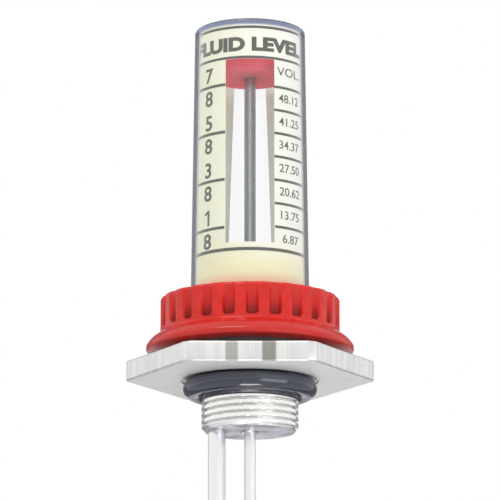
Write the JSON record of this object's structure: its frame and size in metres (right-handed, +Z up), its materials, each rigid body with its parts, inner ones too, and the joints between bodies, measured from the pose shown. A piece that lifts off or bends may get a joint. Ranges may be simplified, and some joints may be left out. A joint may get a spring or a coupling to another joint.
{
  "type": "tank level gauge",
  "caption": "Drum level gauge: clear cup with a printed scale over a hexagonal base, float arm on a leg lifting a red disk.",
  "frame": {"origin": "on the bung thread's axis, at the underside of the hexagon that lies on the drum", "axes": "+Z up out of the drum, -Y towards the reader of the scale, +X to the reader's right"},
  "size_m": [0.0689, 0.06, 0.5452],
  "materials": {
    "aluminium": "satin",
    "leg_aluminium": "satin",
    "rod_aluminium": "satin",
    "o_ring_rubber": "satin",
    "gasket_rubber": "matte",
    "clear_plastic": "gloss",
    "red_plastic": "gloss",
    "printed_film": "satin",
    "red_disk": "gloss",
    "spring_steel": "satin",
    "bracket_steel": "satin",
    "rivet_steel": "satin",
    "pin_steel": "satin",
    "arm_steel": "satin",
    "float_plastic": "matte"
  },
  "bodies": {
    "head": {"base_body": "aluminium", "bung_o_ring": "o_ring_rubber", "cup_gasket": "gasket_rubber", "sight_cup": "clear_plastic", "lock_ring": "red_plastic", "scale_film": "printed_film", "support_leg": "leg_aluminium", "pivot_bracket": "bracket_steel", "bracket_rivets": "rivet_steel", "pivot_pin": "pin_steel", "pivot_washer": "pin_steel"},
    "indicator": {"indicator_disk": "red_disk", "disk_push_nut": "spring_steel", "indicator_rod": "rod_aluminium"},
    "swing_arm": {"float_arm": "arm_steel", "crank_pin": "pin_steel", "float_body": "float_plastic", "float_cap": "float_plastic", "float_push_nuts": "spring_steel"}
  },
  "joints": [
    {"name": "float_swing", "type": "hinge", "parent": "head", "child": "swing_arm", "pos_m": [0.00188, 0, -0.4255], "axis": [0, 1, 0], "range_deg": [0, 188]},
    {"name": "indicator_slide", "type": "slide", "parent": "head", "child": "indicator", "axis": [0, 0, 1], "range_m": [-0.0539, 0]}
  ],
  "couplings": [
    {"joint": "indicator_slide", "follows": "float_swing", "m_per_rad": -0.016417}
  ]
}
